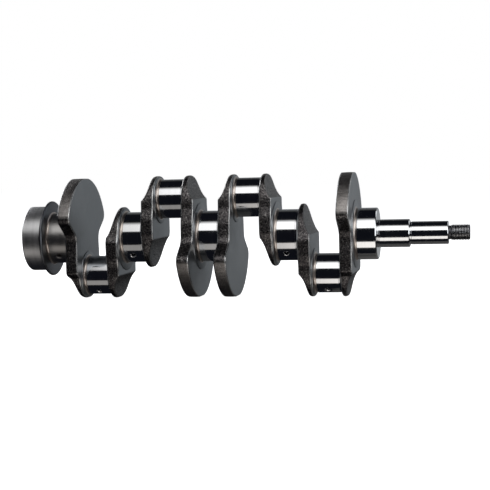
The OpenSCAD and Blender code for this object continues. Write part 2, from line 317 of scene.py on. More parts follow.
def remap(tree, value, low, high, fromLow=0.35, fromHigh=0.65):
    node = tree.nodes.new("ShaderNodeMapRange")
    for key, source in (("Value", value), ("From Min", fromLow), ("From Max", fromHigh), ("To Min", low),
                        ("To Max", high)):
        feed(tree, source, node.inputs[key])
    return node.outputs["Result"]


def ramp(tree, factor, stops):
    node = tree.nodes.new("ShaderNodeValToRGB")
    while len(node.color_ramp.elements) < len(stops):
        node.color_ramp.elements.new(0.5)
    for element, (place, colour) in zip(node.color_ramp.elements, stops):
        element.position = place
        element.color = (*colour, 1.0)
    tree.links.new(factor, node.inputs["Fac"])
    return node.outputs["Color"]


def mixColour(tree, factor, first, second):
    node = tree.nodes.new("ShaderNodeMix")
    node.data_type = "RGBA"
    for source, index in ((factor, 0), (first, 6), (second, 7)):
        feed(tree, source, node.inputs[index])
    return node.outputs[2]


def mixValue(tree, factor, first, second):
    node = tree.nodes.new("ShaderNodeMix")
    for source, index in ((factor, 0), (first, 2), (second, 3)):
        feed(tree, source, node.inputs[index])
    return node.outputs[0]


def bump(tree, height, distance, strength=1.0, normal=None):
    node = tree.nodes.new("ShaderNodeBump")
    for key, source in (("Strength", strength), ("Distance", distance), ("Height", height)):
        feed(tree, source, node.inputs[key])
    if normal is not None:
        tree.links.new(normal, node.inputs["Normal"])
    return node.outputs["Normal"]


def markShare(tree, mark):
    # the share of a mark stored at the piece's points
    node = tree.nodes.new("ShaderNodeAttribute")
    node.attribute_name = mark
    return node.outputs["Fac"]


def axisDistance(tree):
    # distance of the shaded point from the main axis: sqrt(y^2 + z^2)
    split = tree.nodes.new("ShaderNodeSeparateXYZ")
    tree.links.new(objectPlace(tree), split.inputs[0])
    squares = [calc(tree, "MULTIPLY", split.outputs[key], split.outputs[key]) for key in ("Y", "Z")]
    return calc(tree, "SQRT", calc(tree, "ADD", *squares))


slowRate = 0.12  # rate of a slow pattern, as a share of the fine one's
roughSpread = 0.12  # how much rougher a plain finish gets in places
groundSet = {  # what all ground and turned finishes share
    "smudgeScale": 38.0,
    "speckScale": 900.0,
    "specks": (0.64, 0.80),  # noise at which a speck begins and is full
    "speckRough": 0.10,
    # painted reflection: a warm colour for the bright ring on a journal's left fillet
    "fillet": (0.50, 0.445, 0.41),
    "filletRough": 0.32,
}


def groundSteel(name, look):
    # steel ground or turned about X: fine rings that vary along X only, a slow smudge in
    # its roughness and faint duller specks. The mark fillet gives a duller finish and a warmer colour painted
    # as a reflected bright ring.
    look = {**groundSet, **look}
    material, tree, shader = newMaterial(name)
    fine = noise(tree, objectPlace(tree, (look["rings"], 5.0, 5.0)), 1.0, 5.0, 0.7)
    broad = noise(tree, objectPlace(tree, (look["rings"] * slowRate, 2.0, 2.0)), 1.0, 3.0)
    smudge = noise(tree, objectPlace(tree), look["smudgeScale"])
    specks = noise(tree, objectPlace(tree), look["speckScale"], 2.0, 0.5)
    tone = weighed(tree, (smudge, 0.4), (broad, 0.6))
    fillet = markShare(tree, "fillet")
    steel = ramp(tree, tone, [(0.35, look["dark"]), (0.65, look["light"])])
    wear = calc(tree, "ADD", remap(tree, smudge, look["rough"], look["rough"] + look["smudge"]),
                remap(tree, broad, 0.0, look["smudge"]))
    wear = calc(tree, "ADD", wear, remap(tree, specks, 0.0, look["speckRough"], *look["specks"]))
    # the fillet's warm colour is a painted reflection
    feedShader(tree, shader, mixColour(tree, fillet, steel, look["fillet"]),
               mixValue(tree, fillet, wear, look["filletRough"]), bump(tree, fine, look["depth"] * mm))
    return material


def webSteel(name, look):
    # The mark milled is 1 on a milled face and 0 on the shot-blasted forging skin, and a
    # mottle makes the border between them uneven. The edge mark is 1 where a painted highlight lines the
    # rounded edges.
    # The skin is pebbled and carries painted glints as light specks, both drawn out along Y.
    # Beyond turnedRadius from the main axis it also shows the cuts of a counterweight's turned rim.
    material, tree, shader = newMaterial(name)
    plain = objectPlace(tree)
    drawn = objectPlace(tree, (1.0, look["drawn"], 1.0))
    grain = noise(tree, drawn, look["grain"], 3.0, 0.65)
    mottle = noise(tree, plain, look["mottle"], 4.0, 0.65)
    patch = noise(tree, plain, look["patch"])
    uneven = calc(tree, "ADD", markShare(tree, "milled"), remap(tree, mottle, -look["ragged"], look["ragged"]))
    milled = remap(tree, uneven, 0.0, 1.0, *look["milled"])
    # painted highlight: a light colour along the rounded edges, its border frayed by the grain
    edgeHighlightRaw = calc(tree, "ADD", markShare(tree, "worn"), remap(tree, grain, -look["chipped"], look["chipped"]))
    worn = remap(tree, edgeHighlightRaw, 0.0, 1.0, *look["worn"])
    pebble = tree.nodes.new("ShaderNodeTexVoronoi")
    pebble.feature = "SMOOTH_F1"
    feed(tree, look["pebble"], pebble.inputs["Scale"])
    feed(tree, 0.7, pebble.inputs["Smoothness"])
    feed(tree, drawn, pebble.inputs["Vector"])
    dimple = weighed(tree, (pebble.outputs["Distance"], 0.7), (grain, 0.7))
    tone = weighed(tree, (mottle, 0.15), (dimple, 0.85))
    skin = ramp(tree, tone, look["skinStops"])
    # painted glints: noise specks lighten the skin's colour
    sparkle = remap(tree, noise(tree, drawn, look["sparkle"], 1.0, 0.5), 0.0, 1.0, *look["sparkles"])
    skin = mixColour(tree, sparkle, skin, look["sparkleLight"])
    turnedRadius = look["turnedRadius"] * mm
    rim = remap(tree, axisDistance(tree), 0.0, 1.0, turnedRadius - look["turnedEase"] * mm, turnedRadius)
    cuts = noise(tree, objectPlace(tree, look["cuts"]), 1.0, 3.0)
    turnedColour = ramp(tree, weighed(tree, (cuts, 0.5), (patch, 0.5)), look["turnedStops"])
    skin = mixColour(tree, calc(tree, "MULTIPLY", rim, look["turnedShare"]), skin, turnedColour)
    surface = mixColour(tree, milled, skin, ramp(tree, patch, look["faceStops"]))
    skinRough = mixValue(tree, rim, remap(tree, mottle, *look["skinRough"]), look["turnedRough"])
    rough = mixValue(tree, milled, skinRough, remap(tree, patch, *look["faceRough"]))
    arcs = tree.nodes.new("ShaderNodeCombineXYZ")
    feed(tree, axisDistance(tree), arcs.inputs["X"])
    feed(tree, patch, arcs.inputs["Y"])
    lines = noise(tree, arcs.outputs[0], look["arcs"], 3.0, 0.7)
    slow = bump(tree, mottle, look["slowDepth"] * mm, 0.6)
    dimples = calc(tree, "MULTIPLY", dimple, look["skinDepth"])
    relief = mixValue(tree, calc(tree, "MULTIPLY", rim, look["turnedCut"]), dimples,
                      calc(tree, "MULTIPLY", cuts, look["turnedDepth"]))
    height = mixValue(tree, milled, relief, calc(tree, "MULTIPLY", lines, look["faceDepth"]))
    # the painted edge highlight is mixed over the surface's colour
    feedShader(tree, shader, mixColour(tree, worn, surface, look["wornLight"]),
               mixValue(tree, worn, rough, look["wornRough"]), bump(tree, height, mm, 1.0, slow))
    return material


def threadSteel(name, crestRadius, look):
    # painted shade darkens the flanks and roots, and the crests are light, told apart by the distance from the
    # axis
    material, tree, shader = newMaterial(name)
    foot, top = (crestRadius - below * mm for below in look["crest"])
    crest = remap(tree, axisDistance(tree), 0.0, 1.0, foot, top)
    fine = noise(tree, objectPlace(tree), look["scale"], 3.0)
    flank = ramp(tree, fine, [(0.3, look["dark"]), (0.7, look["middle"])])
    rough = mixValue(tree, crest, look["flankRough"], remap(tree, fine, *look["crestRough"]))
    feedShader(tree, shader, mixColour(tree, crest, flank, look["light"]), rough,
               bump(tree, fine, look["depth"] * mm, 0.6))
    return material


def plainFinish(name, look):
    # an even grain whose colour drifts slowly
    material, tree, shader = newMaterial(name)
    fine = noise(tree, objectPlace(tree), look["scale"])
    slow = noise(tree, objectPlace(tree), look["scale"] * slowRate, 3.0)
    feedShader(tree, shader, ramp(tree, slow, [(0.3, look["dark"]), (0.7, look["light"])]),
               remap(tree, fine, look["rough"], look["rough"] + roughSpread),
               bump(tree, fine, look["depth"] * mm, 0.7), look["metallic"])
    return material


journalSteel = groundSteel("groundJournalSteel", {
    "light": (0.66, 0.665, 0.68), "dark": (0.60, 0.605, 0.62), "rings": 2600.0, "rough": 0.065, "smudge": 0.03,
    "depth": 0.0010})
satinSteel = groundSteel("satinJournalSteel", {
    "light": (0.50, 0.49, 0.48), "dark": (0.40, 0.39, 0.38), "rings": 1900.0, "rough": 0.27, "smudge": 0.05,
    "depth": 0.0030})
flangeSteel = groundSteel("groundFlangeSteel", {
    "light": (0.66, 0.66, 0.67), "dark": (0.50, 0.50, 0.51), "rings": 1500.0, "rough": 0.31, "smudge": 0.06,
    "depth": 0.0040})
slingerSteel = groundSteel("turnedSlingerSteel", {
    "light": (0.19, 0.195, 0.21), "dark": (0.12, 0.125, 0.14), "rings": 1500.0, "rough": 0.30, "smudge": 0.08,
    "depth": 0.0060})
seatSteel = groundSteel("groundSeatSteel", {
    "light": (0.66, 0.665, 0.68), "dark": (0.56, 0.565, 0.58), "rings": 2200.0, "rough": 0.07, "smudge": 0.04,
    "depth": 0.0016})
raceSteel = groundSteel("bearingRaceSteel", {
    "light": (0.70, 0.71, 0.73), "dark": (0.62, 0.63, 0.65), "rings": 3000.0, "rough": 0.10, "smudge": 0.04,
    "depth": 0.0012})
forgingSteel = webSteel("forgedWebSteel", {
    "grain": 1500.0, "mottle": 420.0, "patch": 45.0, "pebble": 600.0, "arcs": 2400.0, "sparkle": 640.0,
    "drawn": 0.5,  # stretch of the skin's pattern along Y
    "ragged": 0.14,  # how far the mottle moves the border of a milled face
    "milled": (0.42, 0.58),  # where a milled face begins and is full
    "chipped": 0.22,  # how far the grain moves the border of the painted edge highlight
    "worn": (0.45, 0.75),
    # where the painted glints begin and are full; their light colour follows below
    "sparkles": (0.57, 0.64),
    "skinStops": [(0.32, (0.006, 0.0055, 0.0065)), (0.52, (0.026, 0.0245, 0.027)),
                  (0.75, (0.10, 0.093, 0.094))],
    "skinRough": (0.30, 0.38), "skinDepth": 0.38, "slowDepth": 0.03, "sparkleLight": (0.20, 0.19, 0.187),
    "faceStops": [(0.30, (0.22, 0.235, 0.25)), (0.70, (0.31, 0.325, 0.34))],
    # the light edge colour below is a painted highlight
    "faceRough": (0.34, 0.44), "faceDepth": 0.004, "wornLight": (0.60, 0.585, 0.57), "wornRough": 0.26,
    "turnedRadius": 62.2,  # mm from the main axis
    "turnedEase": 0.7,  # mm over which the turned rim fades in
    "turnedShare": 0.6,  # of its colour
    "turnedCut": 0.25,  # of its relief
    "turnedStops": [(0.38, (0.21, 0.195, 0.19)), (0.60, (0.45, 0.425, 0.41))],
    "turnedRough": 0.40, "turnedDepth": 0.03, "cuts": (120.0, 1300.0, 1300.0)})
noseThreadSteel = threadSteel("noseThreadSteel", axisAndRadius("threaded_nose")[1], {
    # dark and middle are painted shade in the thread's grooves
    "dark": (0.05, 0.05, 0.055), "middle": (0.14, 0.14, 0.15), "light": (0.60, 0.60, 0.61), "scale": 1400.0,
    "crest": (0.30, 0.04),  # mm below the crest's top, where brightness begins and is full
    "flankRough": 0.42, "crestRough": (0.18, 0.28), "depth": 0.03})
keySteel = plainFinish("keySteel", {
    "dark": (0.42, 0.42, 0.43), "light": (0.56, 0.56, 0.57), "metallic": 1.0, "rough": 0.24, "scale": 700.0,
    "depth": 0.010})
cageBrass = plainFinish("cageBrass", {
    "dark": (0.55, 0.38, 0.14), "light": (0.72, 0.53, 0.24), "metallic": 1.0, "rough": 0.28, "scale": 500.0,
    "depth": 0.015})
sealRubber = plainFinish("sealRubber", {
    "dark": (0.014, 0.014, 0.015), "light": (0.035, 0.035, 0.037), "metallic": 0.0, "rough": 0.52,
    "scale": 900.0, "depth": 0.020})
print("finishes made")


# journals and crankpins
journalSet = {
    "fillet": 1.9,  # mm, ground fillet beside a web
    "undercut": 0.35,  # mm below the ground surface
    "land": 0.7,  # mm, width of the undercut's floor
    "rise": 0.3,  # mm, from that floor up to the ground surface
    "filletSteps": 8,
    "chamfer": 1.0,  # mm, on main journal 1's free end
    "edge": 0.3,  # mm, rounding of that chamfer
    "cell": 0.85,  # mm, size of a grid cell
    "segments": 192,
    "window": 6,  # cells on each side of an oil hole that its rings take up
    "rings": 7,
    "mouth": 3.3,  # mm, radius of an oil hole's countersink
    "bore": 2.3,  # mm, radius of the oil hole
    "lip": 0.3,  # mm, rounding of the mouth
    "depth": 9.0,  # mm, how far the hole is followed inwards
}
mainHoleAngle = -136.0  # degrees from +Y towards +Z
pinHoleAngle = -125.0  # the same
oilHoles = {mainNames[1]: mainHoleAngle + 180, **{mainNames[k]: mainHoleAngle for k in (2, 4, 5)},
            **{pinNames[j]: pinHoleAngle + (180 if j in (2, 3) else 0) for j in pinNames}}


def mainPlace(k):
    # the mains stand one cylinder pitch apart, counted from the middle one
    pitch = nodeBox(mainNames[2])[0][0] - nodeBox(mainNames[3])[0][0]
    middle = sum(end[0] for end in nodeBox(mainNames[3])) / 2
    return middle + (3 - k) * pitch


oilPlaces = {mainNames[k]: mainPlace(k) for k in (1, 5)}  # any other hole is in its journal's middle


def journalPiece(node, look):
    # profile from left to right: fillet arc, undercut, ground band, undercut, fillet arc
    low, high = nodeBox(node)
    height, radius = axisAndRadius(node)
    fillet, floor = look["fillet"] * mm, radius - look["undercut"] * mm
    curve = arc(low[0] + fillet, floor + fillet, fillet, 180, 270, look["filletSteps"])
    left = np.concatenate([[[low[0], 0.0]], curve,
                           [[low[0] + fillet + look["land"] * mm, floor],
                            [low[0] + fillet + (look["land"] + look["rise"]) * mm, radius]]])
    if node == mainNames[1]:
        chamfer = look["chamfer"] * mm
        right = softened([[high[0] - 2 * chamfer, radius], [high[0] - chamfer, radius],
                          [high[0], radius - chamfer], [high[0], 0.0]], look["edge"] * mm)[1:]
    else:
        right = left[::-1] * (-1, 1) + (low[0] + high[0], 0)
    start, stop = left[-1, 0], right[0, 0]
    cells = int(round((stop - start) / (look["cell"] * mm)))
    band = np.stack([np.linspace(start, stop, cells + 1)[1:-1], np.full(cells - 1, radius)], -1)
    profile = np.concatenate([left, band, right])
    points = turned(profile, height, look["segments"])
    drills = []
    if node in oilHoles:
        row = int(np.argmin(abs(profile[:, 0] - oilPlaces.get(node, (low[0] + high[0]) / 2))))
        column = int(round((90 - oilHoles[node]) % 360 / 360 * look["segments"]))
        drills.append((row, column, radius, height))
    finish = satinSteel if node == mainNames[5] else journalSteel
    parts = drilledParts(points, drills, look)
    paintedRingShare = np.zeros(len(profile))
    paintedRingShare[:len(left) - 1] = 1.0  # only the left end's fillet gets the duller finish and the painted ring reflection
    grid = (*parts[0], np.broadcast_to(paintedRingShare[:, None], points.shape[:2]))
    holes = [(*part, 0.0) for part in parts[1:]]
    buildPiece(node, finish, [grid] + holes, marks=("fillet",))


for node in list(mainNames.values()) + list(pinNames.values()):
    journalPiece(node, journalSet)
print("journals and crankpins ground")


# webs
webSet = {
    "rows": 190,
    "columns": 41,
    "edgeSteps": 5,
    "bandSteps": 8,
    "settle": 1.6,  # mm, over which the outline's corners are eased
    "milledEdge": 0.75,  # mm, radius of the edge of a milled face
    "forgedEdge": 1.8,  # mm, radius along the forged bevels
    "crown": 0.2,  # mm, how far the band swells
    "tipWidth": 31.0,  # mm, half width of the superellipse at the pin end
    "tipCentre": 30.0,  # mm from the main axis
    "tipPower": 2.4,
    "tipFlat": 4.0,  # mm, half width of the flat at an end
    "padAngle": 14.0,  # degrees of that superellipse taken up by an end web's pad
    "bevelStart": 38.0,  # mm, where the pin end's bevel begins
    "bevelDeep": 8.3,  # mm
    "bevelFade": 8.6,  # mm
    "heelStart": -1.0,  # mm, where a plain web's other bevel begins
    "heelDeep": 8.8,  # mm
    "heelFade": 13.0,  # mm
    "blend": 1.5,  # mm over which a milled face turns to forging skin
    "wave": 0.06,  # mm, unevenness of the forging skin
    "mainBoss": 34.3,  # mm, radius of the milled ring about the main journal
    "pinBoss": 25.3,  # mm, the same about the crankpin
    "bossRise": 0.8,  # mm
    "bossEdge": 0.6,  # mm
    "bossSink": 1.5,  # mm, how far a ring reaches into the plate
    "bossSegments": 144,
    "bossInset": 1.2,  # mm that a ring stays inside the outline
    "plainWaist": 34.3,  # mm, half width
    "plainEase": (0.7, 20.0, 4.0),  # mm: how much narrower, at which height, and where the waist is full
    "plainHeelAngle": 8.0,  # degrees below the middle where the heel's arc begins
    "waist": 36.0,  # mm, half width of a counterweighted web's neck
    "waistEase": (1.0, 14.0),  # mm: how much narrower, and at which height
    "padWidth": 36.8,  # mm, half width across an end web's pads
    "padLow": 24.0,  # mm
    "padHigh": 35.5,  # mm
    "padFoot": 8.0,  # mm, where the neck starts below a pad
    "corner": 8.0,  # mm, radius of a counterweight's outer corner
    "cornerAngle": 24.4,  # degrees from the horizontal down to that corner
    "shoulderAngle": 34.4,  # degrees
    "neckFillet": 12.0,  # mm, radius where the shoulder meets the neck
}
endWebs = (1, 8)
weightWebs = (1, 4, 5, 8)


def halfOutline(k, reach, heel, halfWidth, look):
    # the right half of a web seen along the shaft, crankpin up, from the tip down: the
    # superellipse y = W cos(a)^(2/p), z = C + (reach - C) sin(a)^(2/p), the side, then an
    # arc about the main axis, or the counterweight's fillet, shoulder, corner and arc
    width, centre, power = look["tipWidth"], look["tipCentre"], 2 / look["tipPower"]
    top = math.degrees(math.acos((look["tipFlat"] / width) ** (1 / power)))
    a = np.radians(np.linspace(top, look["padAngle"] if k in endWebs else 0, 60))
    tip = np.stack([width * np.cos(a) ** power, centre + (reach - centre) * np.sin(a) ** power], -1)
    if k not in weightWebs:
        less, upper, lower = look["plainEase"]
        side = [[look["plainWaist"] - less, upper], [look["plainWaist"], lower]]
        stop = -math.degrees(math.acos(look["tipFlat"] / heel))
        return np.concatenate([tip, side, arc(0, 0, heel, -look["plainHeelAngle"], stop, 60)])
    corner, turn = look["corner"], 90 - look["shoulderAngle"]
    slope, lean = math.radians(look["shoulderAngle"]), math.radians(look["cornerAngle"])
    cornerY = halfWidth - corner
    outer = cornerY / math.cos(lean) + corner
    cornerZ = -cornerY * math.tan(lean)
    shoulderY, shoulderZ = cornerY + corner * math.sin(slope), cornerZ + corner * math.cos(slope)
    meetZ = shoulderZ + (shoulderY - look["waist"]) * math.tan(slope)
    filletY = look["waist"] + look["neckFillet"]
    filletZ = meetZ + look["neckFillet"] * math.tan(math.radians(turn / 2))
    if k in endWebs:
        side = [[look["padWidth"], look["padHigh"]], [look["padWidth"], look["padLow"]],
                [look["waist"], look["padFoot"]]]
    else:
        side = [[look["waist"] - look["waistEase"][0], look["waistEase"][1]]]
    stop = -math.degrees(math.asin(heel / outer))
    return np.concatenate([tip, side, arc(filletY, filletZ, look["neckFillet"], 180, 180 + turn, 20),
                           arc(cornerY, cornerZ, corner, turn, -look["cornerAngle"], 20),
                           arc(0, 0, outer, -look["cornerAngle"], stop, 60)])


def evenSteps(points, count, settle):
    # points at equal steps of arc length, each the mean of its neighbours within settle
    length = np.concatenate([[0], np.cumsum(np.linalg.norm(np.diff(points, axis=0), axis=1))])
    s = np.linspace(0, length[-1], count)
    share = np.minimum(1, np.minimum(s, length[-1] - s) / settle)
    spread = s[:, None] + np.linspace(-settle, settle, 9) * share[:, None]
    return np.stack([np.interp(spread, length, points[:, i]).mean(1) for i in (0, 1)], -1)


def outwardOf(loop):
    # a clockwise loop's tangent turned to the left
    tangent = np.roll(loop, -1, 0) - np.roll(loop, 1, 0)
    normal = np.stack([-tangent[:, 1], tangent[:, 0]], -1)
    return normal / np.linalg.norm(normal, axis=1, keepdims=True)


def closedLoop(half, columns):
    # the right side going down, the bottom edge, the left side going up, the top edge
    sweep = np.linspace(1, -1, columns)[1:-1]
    bottom = np.stack([half[-1, 0] * sweep, np.full(columns - 2, half[-1, 1])], -1)
    top = np.stack([-half[0, 0] * sweep, np.full(columns - 2, half[0, 1])], -1)
    return np.concatenate([half, bottom, half[::-1] * (-1, 1), top])


def plateParts(half, levels, edges, shares, look, place):
    # A plate with two side faces. The rim strip runs round the outline: at each face a
    # quarter circle, edge (1 - sin a) inside the outline and edge (1 - cos a) below the
    # face, and a slightly swollen band between them. Each face is a grid whose rows
    # join the rim's right and left points, and whose first and last rows are the rim's.
    # The rim's unevenness is the mean of sin 0.45 y and sin (0.37 z + 1), and the share of
    # the painted edge highlight rises and falls as sin 2a along each quarter circle.
    n, m = look["rows"], look["columns"]
    loop = closedLoop(half, m)
    normal = outwardOf(loop)
    wave = look["wave"] * (np.sin(loop[:, 0] * 0.45) + np.sin(loop[:, 1] * 0.37 + 1.0)) / 2
    quarter = np.radians(np.linspace(0, 90, look["edgeSteps"] + 1))
    sides, parts = [], []
    for level, edge, share, inward in zip(levels, edges, shares, (1.0, -1.0)):
        inset = loop - normal * edge[:, None]
        x = level(inset[:, 1])
        sides.append([(x + inward * edge * (1 - math.cos(a)),
                       loop + normal * (wave * math.sin(a) - edge * (1 - math.sin(a)))[:, None],
                       share * (1 - 0.4 * a / quarter[-1]),
                       # share of the painted edge highlight, highest halfway round the edge
                       (0.55 + 0.45 * share) * math.sin(2 * a)) for a in quarter])
        across = np.linspace(0, 1, m)[None, :, None]
        solid = np.column_stack([x, inset, share])
        left = solid[n + m - 2:2 * n + m - 2][::-1]
        grid = solid[:n, None] * (1 - across) + left[:, None] * across
        grid[0, 1:-1] = solid[2 * n + m - 2:][::-1]
        grid[-1, 1:-1] = solid[n:n + m - 2]
        parts.append((place(grid[..., 0], grid[..., 1], grid[..., 2]), gridFaces(n, m), grid[..., 3], 0.0))
    (x0, flat), (x1, _) = sides[0][-1][:2], sides[1][-1][:2]
    band = [(x0 + (x1 - x0) * t, flat + normal * look["crown"] * (1 - (2 * t - 1) ** 2), 0 * x0, 0 * x0)
            for t in np.linspace(0, 1, look["bandSteps"] + 1)[1:-1]]
    order = sides[0] + band + sides[1][::-1]
    rim = np.array([place(ring[0], ring[1][:, 0], ring[1][:, 1]) for ring in order])
    milled, worn = (np.array([ring[i] for ring in order]) for i in (2, 3))
    parts.append((rim, gridFaces(len(order), len(loop), False, True), milled, worn))
    return parts


def webPiece(k, look):
    # a plate inside its outline, flat to the bevels on both sides, with two milled rings on it
    node = webNames[k]
    low, high = nodeBox(node)
    throw = axisAndRadius(pinNames[(k + 1) // 2])[0]
    up = 1.0 if throw > 0 else -1.0
    mainSide = 1.0 if k % 2 else -1.0
    rise = look["bossRise"]
    half = (high[0] - low[0]) / mm / 2 - rise
    middle = (high[0] + low[0]) / 2
    reach, heel = (high[2], -low[2]) if up > 0 else (-low[2], high[2])
    outline = halfOutline(k, reach / mm, heel / mm, high[1] / mm, look)
    outline = evenSteps(outline, look["rows"], look["settle"])
    loop = closedLoop(outline, look["columns"])

    def place(x, y, z):
        # web frame in mm, main journal at -x and crankpin up, to the shaft's frame
        return np.stack([middle - mainSide * x * mm, y * mm, up * z * mm], -1)

    def mainLevel(z):
        # the face sinks as D (1 - exp(-(z - start) / fade)) beyond the bevel's start
        beyond = np.maximum(z - look["bevelStart"], 0)
        return -half + look["bevelDeep"] * (1 - np.exp(-beyond / look["bevelFade"]))

    def pinLevel(z):
        deep = 0.0 if k in weightWebs else look["heelDeep"]
        return half - deep * (1 - np.exp(-np.maximum(look["heelStart"] - z, 0) / look["heelFade"]))

    forged = [np.clip((loop[:, 1] - look["bevelStart"]) / look["blend"], 0, 1),
              np.clip((look["heelStart"] - loop[:, 1]) / look["blend"], 0, 1) * (k not in weightWebs)]
    edges = [look["milledEdge"] + (look["forgedEdge"] - look["milledEdge"]) * share for share in forged]
    parts = plateParts(outline, (mainLevel, pinLevel), edges, [1 - share for share in forged], look, place)
    # milled rings about the journals, held inside the outline and sunk into the plate
    t = np.linspace(0, 2 * np.pi, look["bossSegments"], endpoint=False)
    face, edge, root = half + rise, look["bossEdge"], half - look["bossSink"]
    # (height, inset, share of the radius) from the ring's root over its edge to its middle
    steps = [(root, 0.0, 0.0), (root, 0.0, 1.0), (face - edge, 0.0, 1.0), (face - 0.3 * edge, 0.3 * edge, 1.0),
             (face, edge, 1.0), (face, edge, 0.0)]
    for centre, radius, sign in ((0.0, look["mainBoss"], -1.0), (abs(throw) / mm, look["pinBoss"], 1.0)):
        spoke = loop - (0.0, centre)
        angle = np.arctan2(spoke[:, 0], spoke[:, 1])
        order = np.argsort(angle)
        limit = np.interp((t + np.pi) % (2 * np.pi) - np.pi, angle[order], np.hypot(*spoke.T)[order],
                          period=2 * np.pi)
        r = np.minimum(radius, limit - look["bossInset"])
        rings = np.array([place(np.full_like(t, sign * x), (r - inset) * share * np.sin(t),
                                centre + (r - inset) * share * np.cos(t)) for x, inset, share in steps])
        parts.append((rings, gridFaces(len(steps), len(t), False, True), 1.0, 0.0))
    buildPiece(node, forgingSteel, parts, crease=40.0, marks=("milled", "worn"))


for k in webNames:
    webPiece(k, webSet)
print("webs forged and milled")


# flywheel end
flangeSet = {
    "chamfer": 1.0,  # mm
    "neckDrop": 2.5,  # mm, how far the neck lies below the rim
    "neckWidth": 2.3,  # mm
    "bores": 6,
    "circle": 25.0,  # mm, radius of the bolt circle
    "mouth": 4.0,  # mm, radius of a bolt hole's countersink
    "bore": 3.4,  # mm
    "lip": 0.15,  # mm
    "depth": 16.5,  # mm
    "cell": 0.8,  # mm
    "segments": 192,
    "window": 6,
    "rings": 6,
    "side": -1.0,  # the bolt holes open towards -X
    "clearance": 2.5,  # mm, step behind the pilot bearing
    "clearDeep": 3.0,  # mm from the bearing to the end of that step
    "pointDeep": 7.0,  # mm from the bearing to the point of the bore
    "seatChamfer": 0.6,  # mm, at the mouth of the bearing's seat
    "neckSlope": 0.5,  # mm
    "edge": 0.25,  # mm, rounding of the corners
}


def flangePiece(look):
    # profile: bore behind the bearing, the bearing's seat, end face, rim, neck groove, inner end
    node = "flywheel_flange"
    low, high = nodeBox(node)
    radius = axisAndRadius(node)[1]
    seat = axisAndRadius("pilot_outer_race")[1]
    back = nodeBox("pilot_outer_race")[1][0]
    chamfer = look["chamfer"] * mm
    mouth, step = look["seatChamfer"] * mm, seat - look["clearance"] * mm
    faceOut, faceIn = radius - chamfer, seat + mouth
    count = int(round((faceOut - faceIn) / (look["cell"] * mm)))
    face = np.stack([np.full(count + 1, low[0]), np.linspace(faceIn, faceOut, count + 1)], -1)
    neck = high[0] - look["neckWidth"] * mm
    floor = radius - look["neckDrop"] * mm
    inner = [[back + look["pointDeep"] * mm, 0.0], [back + look["clearDeep"] * mm, step], [back, step],
             [back, seat], [low[0] + mouth, seat]]
    outer = softened([face[-1], [low[0] + chamfer, radius], [neck - look["neckSlope"] * mm, radius],
                      [neck, floor], [high[0], floor]], look["edge"] * mm)[1:]
    profile = np.concatenate([inner, face, outer, [[high[0], 0.0]]])
    points = turned(profile, 0.0, look["segments"])
    row = len(inner) + int(np.argmin(abs(face[:, 1] - look["circle"] * mm)))
    turn = look["segments"] // look["bores"]
    drills = [(row, look["segments"] // 4 + i * turn, 0.0, 0.0) for i in range(look["bores"])]
    buildPiece(node, flangeSteel, drilledParts(points, drills, look))


slingerSet = {
    "flat": 1.0,  # mm, width of the bevel
    "bevel": 1.2,  # mm, its depth
    "edge": 0.25,  # mm, rounding of the corners
    "segments": 192,
}


def slingerPiece(look):
    # profile: flange side, rim, bevel, web side
    node = "oil_slinger_ring"
    low, high = nodeBox(node)
    radius = axisAndRadius(node)[1]
    profile = softened([[low[0], 0.0], [low[0], radius], [high[0] - look["flat"] * mm, radius],
                        [high[0], radius - look["bevel"] * mm], [high[0], 0.0]], look["edge"] * mm)
    buildPiece(node, slingerSteel, [turnedPart(profile, 0.0, look["segments"])])


flangePiece(flangeSet)
slingerPiece(slingerSet)
print("flywheel end turned")


# nose
noseSet = {
    "chamfer": 0.8,  # mm, at the front of each seat
    "edge": 0.3,  # mm, rounding of that chamfer
    "relief": 0.25,  # mm, undercut where a seat meets the step behind it
    "reliefWidth": 1.6,  # mm
    "bandSteps": 12,
}
threadSet = {
    "pitch": 1.5,  # mm
    "deep": 0.92,  # mm
    "crestFlat": 0.14,  # of half a pitch, at the crest and again at the root
    "drop": 1.2,  # mm, relief and end chamfer
    "reliefWidth": 2.2,  # mm
    "runOut": 1.0,  # mm
    "rowStep": 0.1,  # mm
    "segments": 96,
    "drilling": 3.0,  # mm, radius of the centre drilling's mouth
    "drillDepth": 4.6,  # mm
}


def seatPiece(node, look):
    # profile: undercut against the step behind, ground band, chamfer, end face
    low, high = nodeBox(node)
    radius = axisAndRadius(node)[1]
    relief, width, chamfer = look["relief"] * mm, look["reliefWidth"] * mm, look["chamfer"] * mm
    profile = softened([[low[0], 0.0], [low[0], radius + 0.5 * relief],
                        [low[0] + 0.4 * width, radius - relief], [low[0] + width, radius - relief],
                        [low[0] + width + relief, radius], [high[0] - chamfer, radius],
                        [high[0], radius - chamfer], [high[0], 0.0]], look["edge"] * mm)
    band = np.linspace(low[0] + 2 * width, high[0] - 2 * chamfer, look["bandSteps"])
    split = int(np.searchsorted(profile[:, 0], band[0]))
    band = np.stack([band, np.full(len(band), radius)], -1)
    profile = np.concatenate([profile[:split], band, profile[split:]])
    buildPiece(node, seatSteel, [turnedPart(profile)])


